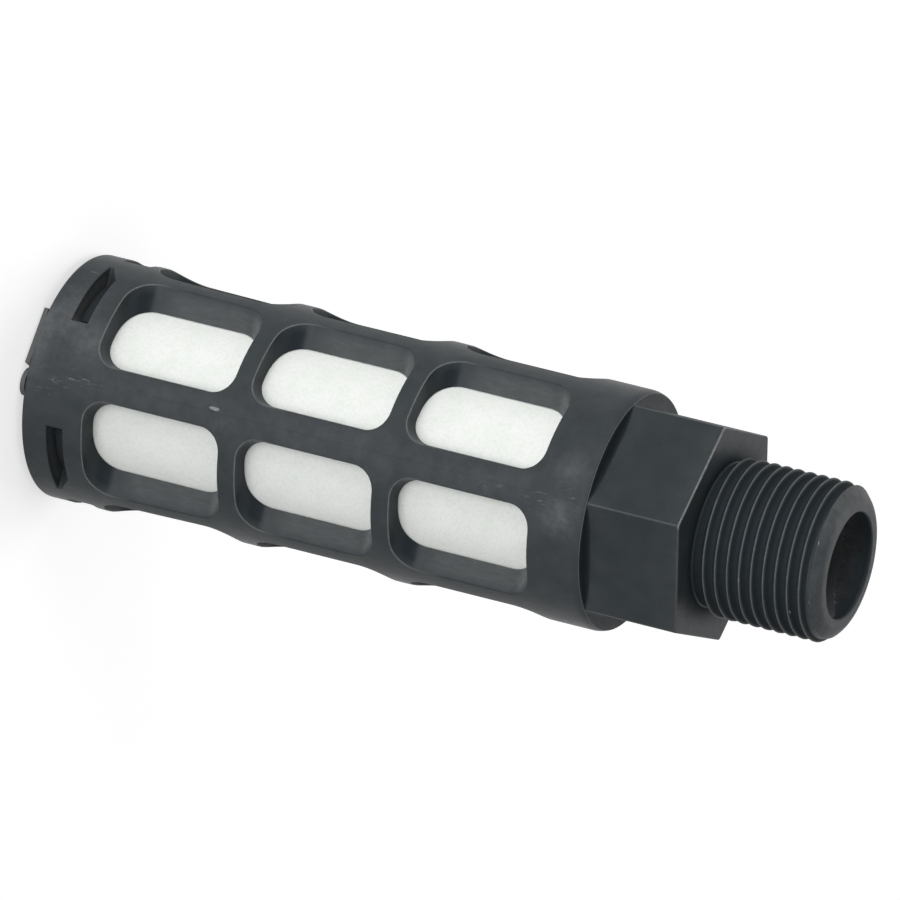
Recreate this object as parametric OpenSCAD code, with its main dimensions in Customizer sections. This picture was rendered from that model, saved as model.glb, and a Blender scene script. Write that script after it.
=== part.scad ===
// Pneumatic exhaust silencer: a moulded cage with hexagon and male pipe thread,
// a porous tube inside it and a snap-in end cap.
// It stands on its end cap. +Z runs along the axis towards the thread.
// The mould opens along X, so every window and slot has straight walls along X.

/* [Thread] */
// Outside diameter of the parallel pipe thread
thread_d = 16.8; // [15.4:0.02:18]
// Length from the hexagon to the tip
thread_len = 14.3; // [8:0.1:24]
// Distance between the thread's crests
thread_pitch = 1.34; // [1.2:0.01:2]
// Depth of the thread, which sets the neck behind it
thread_depth = 0.86; // [0.5:0.02:1]
// Length of the plain neck between hexagon and thread
neck_len = 1; // [0.6:0.1:3]
// Chamfer that leads the thread in, at 45 degrees
tip_chamfer = 1.3; // [0.4:0.1:2.4]
// Diameter of the air bore
bore_d = 11.3; // [7:0.1:12]

/* [Hexagon] */
// Width across the flats
hex_af = 21.6; // [19:0.1:23]
// Length of the flats along the axis
hex_len = 9.7; // [5:0.1:20]
// Radius along the six edges
hex_edge_r = 0.4; // [0.2:0.1:1]
// Height of the sloping web where the hexagon grows out of the shoulder
hex_root = 0.6; // [0.2:0.1:1.5]

/* [Cage] */
// Outside diameter of the collar at the closed end
collar_d = 26.2; // [25.6:0.1:30]
// Outside diameter of the ring between the first two rows of windows
ring_d = 25.68; // [24.6:0.02:26]
// Outside diameter at the shoulder, below its crown
shoulder_d = 25.5; // [24.6:0.02:26]
// Radius of the crown that rounds the shoulder
crown_r = 2.3; // [1.2:0.1:4]
// Height of the crown
crown_h = 1; // [0.4:0.1:1.1]
// Rounding of the rim
rim_r = 0.4; // [0.2:0.1:0.8]
// Diameter of the cage inside
cage_bore_d = 21.2; // [19:0.1:22]
// Length from the rim to the first windows
collar_len = 7.2; // [7.1:0.05:12]
// Length from the last windows to the edge of the shoulder
shoulder_len = 5.9; // [4.5:0.1:12]
// Length from the last windows to the seat of the porous tube
seat_offset = 1.3; // [0.6:0.1:2]

/* [Windows] */
// Rows of windows along the axis
window_rows = 3; // [1:1:5]
// Length of a window
window_len = 15.7; // [8:0.05:24]
// Width of the rings between the rows
ring_w = 2.1; // [1:0.05:4]
// Width of the rib on each parting line
parting_rib_w = 3.7; // [2:0.1:6]
// Width of the first windows that face the mould's opening direction
centre_window_w = 9.2; // [8:0.1:9.4]
// How much narrower those windows get from row to row
centre_window_taper = 0.8; // [0:0.1:0.9]
// Width of the ribs beside the first of those windows
side_rib_w = 1.8; // [1.5:0.1:3]
// Corner radius seen along the mould's opening direction
plan_corner_r = 3; // [1:0.1:3]
// Corner radius at the rib on the parting line
front_corner_r = 2.4; // [1:0.1:4]

/* [Snap slots] */
// Distance from the rim to the slots
slot_offset = 3; // [1.5:0.1:3.2]
// Width of the slots along the axis
slot_h = 1.9; // [1:0.1:2.2]
// Half of the solid stretch of collar across each parting line
slot_inset = 5.65; // [4:0.05:7]
// Distance from the axis to the far wall of the side slots
slot_wall = 4.8; // [4:0.1:6]
// Length of the slots that face the mould's opening direction
centre_slot_w = 5.2; // [2:0.1:6]
// Width along the axis of those slots
centre_slot_h = 3; // [2.2:0.1:3.2]

/* [Porous tube] */
// Wall of the porous tube
tube_wall = 3; // [2:0.1:3.4]
// Radial clearance between the tube and the pieces around it
tube_clear = 0.1; // [0.02:0.02:0.4]

/* [End cap] */
// Thickness of the flange that rests on the rim
flange_t = 0.5; // [0.4:0.1:1.5]
// Diameter of the flange
flange_d = 23.4; // [22.4:0.1:24.6]
// Length of the plug inside the collar
plug_len = 6.2; // [6:0.1:6.9]
// Wall of the plug
plug_wall = 1.5; // [1:0.1:2]
// Thickness of the closed end
cap_floor = 1.5; // [0.8:0.1:2.5]
// Clearance between the plug and the collar, and round each lug
plug_clear = 0.1; // [0.02:0.02:0.3]
// How far the lugs stand out of the plug
lug_out = 0.8; // [0.3:0.1:1.6]
// Length of the spigots that centre the porous tube
spigot_len = 2; // [1:0.1:4]
// Wall of the spigots
spigot_wall = 1.2; // [0.8:0.1:1.6]
// Distance from the axis to the straight edge of the pry tab
tab_out = 12.6; // [12:0.05:12.9]
// Length of that straight edge
tab_w = 6.2; // [3:0.1:9]
// Angle of the tab from the parting line
tab_angle = -15; // [-40:1:40]
// Radius of the corner of the tab nearer the parting line
tab_corner_r = 1.5; // [0.4:0.1:1.8]

/* [Hidden] */

$fn = 96;
flank_angle = 27.5;
charcoal = [0.19, 0.21, 0.23];
off_white = [0.91, 0.93, 0.91];
cut = 1;

row_pitch = window_len + ring_w;
z_rim = flange_t;
z_windows = z_rim + collar_len;
z_windows_end = z_windows + window_rows * row_pitch - ring_w;
z_seat = z_windows_end + seat_offset;
z_shoulder = z_windows_end + shoulder_len;
z_hex = z_shoulder + hex_root;
z_thread = z_hex + hex_len;
z_tip = z_thread + thread_len;
z_slot = z_rim + slot_offset;
z_plug = z_rim + plug_len;

reach = collar_d;
side_window_y = centre_window_w / 2 + side_rib_w;
crown_edge_r = shoulder_d / 2 - crown_r + sqrt(crown_r * crown_r - crown_h * crown_h);
tube_r = cage_bore_d / 2 - tube_clear;
tube_bore_r = tube_r - tube_wall;
spigot_r = tube_bore_r - tube_clear;
plug_r = cage_bore_d / 2 - plug_clear;
thread_flank = thread_depth * tan(flank_angle);
thread_crest = thread_pitch / 2 - thread_flank;

module rounded_rect(w, h, r) {
    square([w - 2 * r, h], center = true);
    square([w, h - 2 * r], center = true);
    for (x = [-1, 1], y = [-1, 1])
        translate([x * (w / 2 - r), y * (h / 2 - r)])
            circle(r);
}

// A flat shape in Y and Z, pushed along X
module along_x() {
    rotate([90, 0, 90])
        linear_extrude(2 * reach, center = true)
            children();
}

// A flat shape in X and Z, pushed along Y
module along_y() {
    rotate([90, 0, 0])
        linear_extrude(2 * reach, center = true)
            children();
}

module at_row(row) {
    translate([0, z_windows + window_len / 2 + row * row_pitch])
        children();
}

module at_each_row() {
    for (row = [0 : window_rows - 1])
        at_row(row)
            children();
}

// Windows beside the parting lines: flat floors at the rib, flat walls along the pull
module side_windows() {
    intersection() {
        along_x()
            at_each_row()
                for (side = [-1, 1])
                    translate([side * (side_window_y + reach / 2), 0])
                        rounded_rect(reach, window_len, plan_corner_r);
        along_y()
            at_each_row()
                for (side = [-1, 1])
                    translate([side * (parting_rib_w / 2 + reach / 2), 0])
                        rounded_rect(reach, window_len, front_corner_r);
    }
}

module centre_windows() {
    along_x()
        for (row = [0 : window_rows - 1])
            at_row(row)
                rounded_rect(centre_window_w - row * centre_window_taper, window_len, plan_corner_r);
}

// The six snap slots, or with a gap the space that the lugs take in them
module slot_space(gap = 0) {
    h = slot_h - 2 * gap;
    for (x = [-1, 1], y = [-1, 1])
        translate([x * (slot_inset + gap + reach / 2), y * (slot_wall + gap + reach / 2), z_slot + slot_h / 2])
            cube([reach, reach, h], center = true);
    translate([0, 0, z_slot + centre_slot_h / 2])
        cube([2 * reach, centre_slot_w - 2 * gap, centre_slot_h - 2 * gap], center = true);
}

module cage_profile() {
    collar_r = collar_d / 2;
    z_crown = z_shoulder - crown_h;
    polygon([
        [0, z_rim],
        [collar_r - rim_r, z_rim],
        [collar_r - rim_r, z_rim + rim_r],
        [collar_r, z_rim + rim_r],
        [collar_r, z_windows],
        [ring_d / 2, z_windows + window_len],
        [shoulder_d / 2, z_crown],
        [0, z_crown]
    ]);
    translate([collar_r - rim_r, z_rim + rim_r])
        circle(rim_r);
    intersection() {
        translate([shoulder_d / 2 - crown_r, z_crown])
            circle(crown_r);
        translate([shoulder_d / 2 - crown_r, z_crown])
            square([crown_r, crown_h]);
    }
    polygon([
        [0, z_crown],
        [shoulder_d / 2 - crown_r, z_crown],
        [shoulder_d / 2 - crown_r, z_shoulder],
        [crown_edge_r, z_shoulder],
        [hex_af / 2, z_hex],
        [0, z_hex]
    ]);
}

module hex_bar() {
    corner = hex_af / 2 / cos(30);
    inset = corner - hex_edge_r / cos(30);
    translate([0, 0, z_shoulder - crown_h])
        linear_extrude(z_thread - z_shoulder + crown_h) {
            for (k = [0 : 2])
                rotate(60 * k)
                    square([hex_af, inset], center = true);
            rotate(30)
                circle(inset, $fn = 6);
            for (k = [0 : 5])
                rotate(30 + 60 * k)
                    translate([inset, 0])
                        circle(hex_edge_r);
        }
}

// The thread's crests stand as rings, one pitch apart
module thread_profile() {
    r = thread_d / 2;
    intersection() {
        union() {
            translate([0, z_hex])
                square([r - thread_depth, z_tip - z_hex]);
            for (z = [z_thread + neck_len : thread_pitch : z_tip])
                polygon([
                    [0, z],
                    [r - thread_depth, z],
                    [r, z + thread_flank],
                    [r, z + thread_flank + thread_crest],
                    [r - thread_depth, z + 2 * thread_flank + thread_crest],
                    [0, z + 2 * thread_flank + thread_crest]
                ]);
        }
        polygon([
            [0, z_hex],
            [r, z_hex],
            [r, z_tip - tip_chamfer],
            [r - tip_chamfer, z_tip],
            [0, z_tip]
        ]);
    }
}

// Space for the porous tube, with the spigot that centres it left standing round the bore
module cage_hollow() {
    translate([0, 0, z_rim - cut])
        cylinder(r = cage_bore_d / 2, h = z_seat - spigot_len - z_rim + cut);
    translate([0, 0, z_seat - spigot_len])
        difference() {
            cylinder(r = cage_bore_d / 2, h = spigot_len);
            cylinder(r = spigot_r, h = spigot_len);
        }
    translate([0, 0, z_seat - spigot_len - cut])
        cylinder(r = bore_d / 2, h = z_tip - z_seat + spigot_len + 2 * cut);
}

module cage_body() {
    color(charcoal)
        difference() {
            union() {
                rotate_extrude()
                    cage_profile();
                hex_bar();
                rotate_extrude()
                    thread_profile();
            }
            cage_hollow();
            side_windows();
            centre_windows();
            slot_space();
        }
}

module porous_tube() {
    color(off_white)
        translate([0, 0, z_plug])
            difference() {
                cylinder(r = tube_r, h = z_seat - z_plug);
                translate([0, 0, -cut])
                    cylinder(r = tube_bore_r, h = z_seat - z_plug + 2 * cut);
            }
}

// Straight-edged tab proud of the rim, so that the cap can be prised out.
// Its round corner touches the collar's diameter from inside.
module pry_tab() {
    corner_y = tab_w / 2 + tab_corner_r;
    corner_to_axis = collar_d / 2 - tab_corner_r;
    corner_x = sqrt(corner_to_axis * corner_to_axis - corner_y * corner_y);
    rotate(tab_angle - 90) {
        translate([0, -tab_w / 2])
            square([tab_out, tab_w]);
        square([corner_x, corner_y]);
        translate([corner_x, corner_y])
            circle(tab_corner_r);
    }
}

module lugs() {
    lug_r = plug_r + lug_out;
    intersection() {
        translate([0, 0, z_slot])
            cylinder(r1 = lug_r, r2 = lug_r - lug_out / 2, h = slot_h);
        slot_space(plug_clear);
    }
}

module end_cap() {
    color(charcoal)
        difference() {
            union() {
                cylinder(d = flange_d, h = flange_t);
                linear_extrude(flange_t)
                    pry_tab();
                cylinder(r = plug_r, h = z_plug);
                cylinder(r = spigot_r, h = z_plug + spigot_len);
                lugs();
            }
            translate([0, 0, cap_floor])
                difference() {
                    cylinder(r = plug_r - plug_wall, h = z_plug);
                    cylinder(r = spigot_r, h = z_plug);
                }
            translate([0, 0, cap_floor])
                cylinder(r = spigot_r - spigot_wall, h = z_plug + spigot_len);
        }
}

cage_body();
porous_tube();
end_cap();
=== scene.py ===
import math
import bpy
import bmesh
import numpy as np
from mathutils import Matrix, Vector
from mathutils.geometry import delaunay_2d_cdt


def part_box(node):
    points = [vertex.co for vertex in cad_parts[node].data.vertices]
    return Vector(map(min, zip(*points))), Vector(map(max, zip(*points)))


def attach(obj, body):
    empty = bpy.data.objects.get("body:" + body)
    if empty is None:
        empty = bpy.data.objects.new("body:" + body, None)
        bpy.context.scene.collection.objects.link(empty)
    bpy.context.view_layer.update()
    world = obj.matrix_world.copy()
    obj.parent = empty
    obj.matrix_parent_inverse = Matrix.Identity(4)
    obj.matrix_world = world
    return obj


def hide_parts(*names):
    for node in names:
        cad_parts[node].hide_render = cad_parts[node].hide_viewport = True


# Pneumatic exhaust silencer: moulded cage with hexagon and pipe thread, porous tube, end cap.
# Angles are in degrees round the axis, from the side that faces the camera (-Y) towards +X.
# Lengths are in millimetres until a mesh is made.

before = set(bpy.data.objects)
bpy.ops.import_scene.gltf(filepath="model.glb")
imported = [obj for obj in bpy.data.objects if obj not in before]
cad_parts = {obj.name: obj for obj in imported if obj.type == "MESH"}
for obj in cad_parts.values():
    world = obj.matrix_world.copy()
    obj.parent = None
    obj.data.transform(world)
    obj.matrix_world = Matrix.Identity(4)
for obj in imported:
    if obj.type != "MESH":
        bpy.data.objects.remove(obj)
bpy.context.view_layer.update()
MM = 0.001


def node_box(node):
    """Lowest and highest corner of a CAD node"""
    low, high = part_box(node)
    return [round(v / MM, 3) for v in low], [round(v / MM, 3) for v in high]


# ---------------------------------------------------------------- sizes, as in the CAD
CAGE_LOW, CAGE_HIGH = node_box("cage_body")
_, TUBE_HIGH = node_box("porous_tube")

COLLAR_R = CAGE_HIGH[0]
COLLAR_LEN = 7.2
RING_R = 12.84
RING_W = 2.1
SHOULDER_R = 12.75
CROWN_R = 2.3
CROWN_H = 1.0
RIM_R = 0.4
CAGE_BORE_R = 10.6

WINDOW_ROWS = 3
WINDOW_LEN = 15.7
PARTING_RIB_W = 3.7
CENTRE_WINDOW_W = 9.2
CENTRE_WINDOW_TAPER = 0.8
SIDE_RIB_W = 1.8
PLAN_CORNER_R = 3.0
FRONT_CORNER_R = 2.4

SLOT_OFFSET = 3.0
SLOT_H = 1.9
SLOT_INSET = 5.65
CENTRE_SLOT_W = 5.2
CENTRE_SLOT_H = 3.0

HEX_APOTHEM = 10.8
HEX_LEN = 9.7
HEX_ROOT = 0.6
HEX_EDGE_R = 0.4

THREAD_R = 8.4
THREAD_LEN = 14.3
THREAD_PITCH = 1.34
THREAD_DEPTH = 0.86
TIP_CHAMFER = 1.3
BORE_R = 5.65
SPIGOT_R = 7.4
SPIGOT_LEN = 2.0

Z_RIM, Z_TIP, Z_SEAT = CAGE_LOW[2], CAGE_HIGH[2], TUBE_HIGH[2]
Z_THREAD = Z_TIP - THREAD_LEN
Z_HEX = Z_THREAD - HEX_LEN
Z_SHOULDER = Z_HEX - HEX_ROOT
Z_CROWN = Z_SHOULDER - CROWN_H
Z_WINDOWS = Z_RIM + COLLAR_LEN
Z_SLOT = Z_RIM + SLOT_OFFSET
SIDE_WINDOW_Y = CENTRE_WINDOW_W / 2 + SIDE_RIB_W
CROWN_EDGE_R = SHOULDER_R - CROWN_R + math.sqrt(CROWN_R ** 2 - CROWN_H ** 2)

# ---------------------------------------------------------------- details finer than the CAD's
EDGE_FILLET = 0.16
HEX_FACE_FILLET = 0.2
BORE_CHAMFER = 0.2
LEDGE_W, LEDGE_RISE = 0.05, 0.005

# A side slot ends at SLOT_END and narrows to SLOT_TIP_H from the part TAPER_FROM of its width
SLOT_END = 5.5
SLOT_TIP_H = 0.45
TAPER_FROM = 0.75
SLOT_CORNER_R = 0.2

# A crest's height above the thread's foot at angle 0, how far the roots stay above the neck,
# how much of their height the flanks keep, and where the thread begins and how long it takes to grow
THREAD_START = 1.56
THREAD_FLOOR = 0.2
THREAD_SCALE = 0.86
HALF_FLANK = math.radians(27.5)
NECK_LEN, RUN_OUT = 0.9, 0.45
CREST_ROUND, ROOT_ROUND, CHAMFER_ROUND = 0.1, 0.4, 0.12
NECK_FILLET = 0.2
TIP_EDGE_H = 0.6
TIP_EDGE_W = 1.25

# The bore's lip, and the line where the two cores of the mould met in it
LIP = 0.12
LINE_W, LINE_STEP = 0.15, 0.05
BORE_PATCH_LEN, BORE_FILLET = 5.0, 0.1
BORE_LINE_ANGLES = (0, 100, 110, 143, 170, 360)
BORE_LINE_DEPTHS = (3.3, 0.9, 1.0, 2.5, 3.3, 3.3)

# The ridge at the parting line
RIDGE_H, RIDGE_W = 0.03, 0.1

# The gate mark: its place, half sizes and relief, and where its slope ends and how wide it is in half sizes
GATE_ANGLE, GATE_Z = -1.2, 22.25
GATE_HALF_W, GATE_HALF_LEN, GATE_H = 0.2, 0.6, 0.14
GATE_REACH, GATE_SLOPE = 1.2, 0.25

# The crown's arc stops CROWN_CUT below the shoulder
CROWN_CUT = 0.06
# The hexagon's root rises more where it is wider, and its hollow comes ROOT_LIFT near the shoulder
ROOT_RISE, ROOT_RISE_PER_GAP, ROOT_BELOW_TOP, ROOT_LIFT = 0.06, 0.35, 0.1, 0.01

# ---------------------------------------------------------------- fineness of the mesh
ARC_STEPS = 12
FILLET_STEPS = 4
STRAIGHT_STEP = 1.2
GRID_DEG = 2.0
SKIN_STEP, LINING_STEP = 0.9, 1.8
# Extra angles beside each corner of the hexagon, and beside the parting line at the front
CORNER_DEG = (-0.93, -0.6, -0.3, 0.3, 0.6, 0.93)
RIDGE_DEG = (-1.0, -0.5, -0.2, 0.2, 0.5, 1.0)
THREAD_ROWS, BORE_ROWS = 180, 36
CROWN_STEPS, ROOT_STEPS, TIP_STEPS = 9, 8, 6
WALL_PARTS = np.linspace(0, 1, 4)
# Finer points round the gate mark, away from the grid's own
GATE_DEG = np.arange(-1.8, 1.85, 0.2) + 0.07
GATE_MM = np.arange(-0.85, 0.9, 0.07) + 0.013
# Grid points keep this far from a line and from a hole, and only those within NEAR_HOLE are tested
CLEAR_OF_LINE, CLEAR_OF_HOLE, NEAR_HOLE = 0.12, 0.3, 2
SAME_POINT = 1e-7

corner_extra = np.add.outer(np.arange(-180.0, 180.0, 60.0), CORNER_DEG).ravel()
THETA = np.concatenate([np.arange(-180.0, 180.0, GRID_DEG), (corner_extra + 180) % 360 - 180])
THETA = np.array(sorted(set(np.round(THETA, 4))))
COLUMN = THETA[:, None]
MM_PER_DEG = math.radians(1) * COLLAR_R
# Turns angle and height into millimetres on the surface
FLAT = np.array([MM_PER_DEG, 1.0])

# ---------------------------------------------------------------- painted light and shade, with real scuffs, specks and wear
# Soft patches of painted sheen on the outside: angle, height, half width in degrees, half length, strength
PAINTED_SHEEN_SPOTS = [(-27, 2.8, 15, 2.6, 0.8), (-17, 6.1, 11, 2.4, 0.75), (-16, 0.4, 19, 2.0, 1.15),
        (-14, 62.4, 7, 1.6, 0.6), (9, 62.2, 8, 1.7, 0.8), (4, 23.4, 5, 1.0, 0.5),
        (0, 15.0, 10, 10.0, 0.2), (0, 35.0, 12, 12.0, 0.2), (0, 53.0, 12, 8.0, 0.2)]
SCUFF = [(5, 3.4, 5, 1.5, 1.0), (0.6, 6.0, 1.6, 3.5, 0.8), (-56, 2.4, 4, 1.2, 0.7),
         (-1.3, 22.0, 1.6, 0.6, 0.7), (2, 55.0, 2.5, 3.0, 0.7), (4, 59.5, 5, 1.4, 0.8),
         (1, 62.8, 7, 1.2, 0.6)]
OUTSIDE_R = 12
# Bright specks on the thread: angle, height
SPECKS = [(34, 88.5), (24, 87.2), (18, 85.8), (46, 86.9),
          (8, 83.1), (27, 81.0), (-12, 88.8), (4, 79.0)]
SPECK_WEAR, GATE_WEAR, GATE_TOP = 1.5, 1.3, 0.1

# Painted reflection on the tip: everywhere, more towards its left from and over these angles, and how far
# down
TIP_SHEEN, TIP_SHEEN_LEFT, TIP_SHEEN_DEG, TIP_SHEEN_LEN = 0.27, 0.5, (10, 40), 1.15
# Painted light in the bore: past the moulding line, and more from and over these depths
BORE_LIGHT, BORE_LIGHT_DEEP, BORE_LIGHT_DEPTHS, BORE_WALL = 2.4, 1.3, (0.6, 3.0), 0.02
# Scuff on the moulding line, and the depth from which the bore wall gets painted shade up to the moulding
# line
LINE_SCUFF, LINE_SCUFF_W, BORE_SHADE_FROM = 2.5, 0.13, 0.3

# Painted highlight and painted light above 0 and painted shade below it, across each kind of edge or face
# Painted highlight on window edges that face the tip, painted light on all window walls and painted shade
# on those that face the tip
WINDOW_EDGE_HIGHLIGHT = 0.75 * np.array([0, 0.7, 1, 0.7, 0])
WINDOW_SHADE, WINDOW_TIP_SHADE, LIGHT_BAND_HIGHLIGHT = 0.2, 0.35, 0.3
# Bands of painted shade and painted highlight in a window's outer corners: where they begin, rise over,
# fade over and end
DARK_BAND, LIGHT_BAND = (0.1, 0.9, 0.5, 2.3), (0.1, 0.5, 0.6, 2.0)
WINDOW_WALL, SLOT_WALL = np.array([0.3, 1, 1, 1]), np.array([0, 1, 1, 1])
# Painted light on slot walls, painted shade where they taper
SLOT_SHADE, TAPER_SHADE = 0.4, -0.45
# Painted highlight on the shoulder's edge
SHOULDER_EDGE = (0, 0.5, 0.7, 0.3, 0)
# Painted shade in the hexagon's root, then on its flats from the root at level 0 to the face at 1, a
# painted highlight on its corners and on the face's edge, then painted shade on the face inwards
ROOT_SHADE = np.array([0.5, 0.8, 1, 1, 1, 1, 1, 0.9, 0])
FLAT_SHADE = np.array([-0.1, -0.25, -0.38, -0.42, -0.42, -0.38, -0.3, -0.15, 0])
FLAT_LEVELS = np.array([0, 0.12, 0.25, 0.38, 0.52, 0.66, 0.82, 0.985, 1])
HEX_LINE_HIGHLIGHT, HEX_LINE_DEG = 0.3, 0.5
HEX_FACE_EDGE = np.array([0, 1, 1, 1, 0.3])
HEX_FACE_SHADE = (0, -0.05, -0.25, -0.55, -0.9)
# Between these angles the root's painted shade is darkest and the face edge's painted highlight brightest,
# and elsewhere they are less so
DARK_ROOT_DEG, HIGHLIT_FACE_DEG = (-62, 62), (-62, 2)
ROOT_ELSEWHERE, FACE_ELSEWHERE, FULL_ROOT_GAP = 0.3, 0.2, 0.5

# The thread: painted highlight on the crests and how deep it goes, and painted shade in the roots from and
# over these depths
CREST_HIGHLIGHT, CREST_HIGHLIGHT_DEPTH, THREAD_ROOT_SHADE_DEPTHS = 0.6, 0.12, (0.1, 0.2)
CHAMFER_MARGIN = 0.1


def around(theta, r, z):
    """Points at angle, radius and height"""
    t = np.radians(theta)
    return np.stack(np.broadcast_arrays(r * np.sin(t), -r * np.cos(t), z), -1)


def unit(v):
    return v / np.maximum(np.linalg.norm(v, axis=-1, keepdims=True), 1e-12)


def between(value, limits):
    return (value > limits[0]) & (value < limits[1])


def ramp(value, start, length):
    """Rises from 0 at the start to 1 after the length"""
    return np.clip((value - start) / length, 0, 1)


# ---------------------------------------------------------------- mesh builder
class Builder:
    """Collects faces with a normal for each corner and welds points in the same place"""

    def __init__(self):
        self.points, self.index = [], {}
        self.faces, self.normals = [], []
        self.edge = {}

    def point(self, p):
        key = tuple(np.round(p, 4) + 0.0)
        if key not in self.index:
            self.index[key] = len(self.points)
            self.points.append(tuple(p))
        return self.index[key]

    def face(self, corners, normals):
        ids = [self.point(p) for p in corners]
        keep = [k for k in range(len(ids)) if ids[k] != ids[k - 1]]
        if len({ids[k] for k in keep}) > 2:
            self.faces.append([ids[k] for k in keep])
            self.normals.append([normals[k] for k in keep])

    def patch(self, P, N, edge=None):
        """Quads over a grid of points whose first axis closes on itself, with painted highlight, painted
        light or real wear above 0 and painted shade below it
        """
        rows, columns = P.shape[:2]
        for i in range(rows):
            k = (i + 1) % rows
            for j in range(columns - 1):
                corners = ((i, j), (k, j), (k, j + 1), (i, j + 1))
                self.face([P[c] for c in corners], [N[c] for c in corners])
        if edge is not None:
            edge = np.broadcast_to(edge, (rows, columns))
            for i, j in np.ndindex(rows, columns):
                self.edge[self.point(P[i, j])] = edge[i, j]

    def mesh(self, name):
        """Mesh with faces turned outwards, the collected normals, and the marks and painted light and shade
        on it
        """
        data = bpy.data.meshes.new(name)
        data.from_pydata([Vector(p) * MM for p in self.points], [], self.faces)
        bm = bmesh.new()
        bm.from_mesh(data)
        bmesh.ops.recalc_face_normals(bm, faces=bm.faces)
        bm.to_mesh(data)
        bm.free()
        normals = []
        for polygon in data.polygons:
            polygon.use_smooth = True
            supplied = dict(zip(self.faces[polygon.index], self.normals[polygon.index]))
            for v in polygon.vertices:
                n = Vector(supplied[v]).normalized()
                normals.append(n if n.dot(polygon.normal) >= 0 else -n)
        data.normals_split_custom_set(normals)
        edge = np.zeros(len(self.points))
        edge[list(self.edge)] = list(self.edge.values())
        for layer, values in marks_and_painted_light(np.array(self.points), edge).items():
            attribute = data.attributes.new(layer, "FLOAT", "POINT")
            attribute.data.foreach_set("value", values.astype(np.float32))
        return data


def soft_spots(spots, theta, z):
    """Strongest of some soft patches at each point"""
    value = np.zeros(len(theta))
    for angle, height, half_deg, half_len, strength in spots:
        turn = (theta - angle + 180) % 360 - 180
        fade = np.exp(-(turn / half_deg) ** 2 - ((z - height) / half_len) ** 2)
        value = np.maximum(value, strength * fade)
    return value


def marks_and_painted_light(P, edge):
    """Painted highlight with real wear, painted shade, painted light and sheen, real scuffs, and painted
    shade in the bore at each point
    """
    theta = np.degrees(np.arctan2(P[:, 0], -P[:, 1]))
    r, z = np.hypot(P[:, 0], P[:, 1]), P[:, 2]
    edge[gate(theta, z) * (P[:, 1] < -RING_R) > GATE_TOP] = GATE_WEAR
    for angle, height in SPECKS:
        distance = np.linalg.norm(P - around(angle, THREAD_R, height), axis=1)
        edge[np.argmin(distance)] = SPECK_WEAR

    outside, in_bore = r > OUTSIDE_R, r < BORE_R + BORE_WALL
    below_tip = Z_TIP - z
    beyond = below_tip - bore_line(theta)
    on_tip = (below_tip < TIP_SHEEN_LEN) & (r > BORE_R + BORE_WALL)
    tip_sheen = (TIP_SHEEN + TIP_SHEEN_LEFT * ramp(-theta, *TIP_SHEEN_DEG)) * on_tip
    bore_light = BORE_LIGHT * ramp(beyond, 0, LINE_W) + BORE_LIGHT_DEEP * ramp(below_tip, *BORE_LIGHT_DEPTHS)
    near_tip = in_bore * (below_tip < BORE_PATCH_LEN)
    painted_light = np.maximum(soft_spots(PAINTED_SHEEN_SPOTS, theta, z) * outside, tip_sheen)
    line = LINE_SCUFF * np.exp(-(beyond / LINE_SCUFF_W) ** 2)
    # Channels: painted highlight with real wear, specks and the gate mark; painted shade; painted light and
    # sheen; real scuffs; painted shade in the bore
    return {
        "edge": np.maximum(edge, 0),
        "painted_shade": np.maximum(-edge, 0),
        "painted_light": np.maximum(painted_light, bore_light * near_tip),
        "scuff": np.maximum(soft_spots(SCUFF, theta, z) * outside, line * near_tip),
        "bore_shade": in_bore * (below_tip > BORE_SHADE_FROM) * np.clip(0.5 - beyond / LINE_W, 0, 1)}


def bend(A, E, B, steps=FILLET_STEPS):
    """Curve from A to B that leaves and arrives in the direction of E, with its tangents"""
    points, tangents = [], []
    for u in np.linspace(0, 1, steps + 1):
        points.append((1 - u) ** 2 * A + 2 * u * (1 - u) * E + u ** 2 * B)
        tangents.append((1 - u) * (E - A) + u * (B - E))
    return np.stack(points, 1), np.stack(tangents, 1)


def profile_runs(corners):
    """Split a profile of (r, z, fillet) corners into runs without a sharp break"""
    c = np.array(corners, float)
    runs, run = [], []

    def add(p, t):
        run.append((p, unit(np.array([t[1], -t[0]]))))

    for i in range(len(c)):
        here = c[i, :2]
        if i == 0:
            add(here, c[1, :2] - here)
            continue
        before = unit(here - c[i - 1, :2])
        if i == len(c) - 1:
            add(here, before)
            continue
        after = unit(c[i + 1, :2] - here)
        fillet = c[i, 2]
        if fillet > 0:
            P, T = bend((here - before * fillet)[None], here[None], (here + after * fillet)[None])
            for p, t in zip(P[0], T[0]):
                add(p, t)
        else:
            add(here, before)
            runs.append(run)
            run = []
            add(here, after)
    runs.append(run)
    return runs


def lathe(build, corners):
    """Surface of revolution of a profile of (r, z, fillet) corners"""
    for run in profile_runs(corners):
        r, z = np.array([p for p, n in run]).T
        nr, nz = np.array([n for p, n in run]).T
        build.patch(around(COLUMN, r[None], z[None]), around(COLUMN, nr[None], nz[None]))


# ---------------------------------------------------------------- openings
def arc(cx, cz, r, start, end):
    a = np.radians(np.linspace(start, end, ARC_STEPS + 1))
    return [(cx + r * math.cos(v), cz + r * math.sin(v)) for v in a]


def straight(a, b):
    """Points between two points, without the two"""
    n = max(1, int(round(math.dist(a, b) / STRAIGHT_STEP)))
    return [(a[0] + (b[0] - a[0]) * k / n, a[1] + (b[1] - a[1]) * k / n) for k in range(1, n)]


def held(kind, points):
    """Entries of an outline: (kind, value, z), where kind says which coordinate is held"""
    return [(kind, value, z) for value, z in points]


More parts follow.
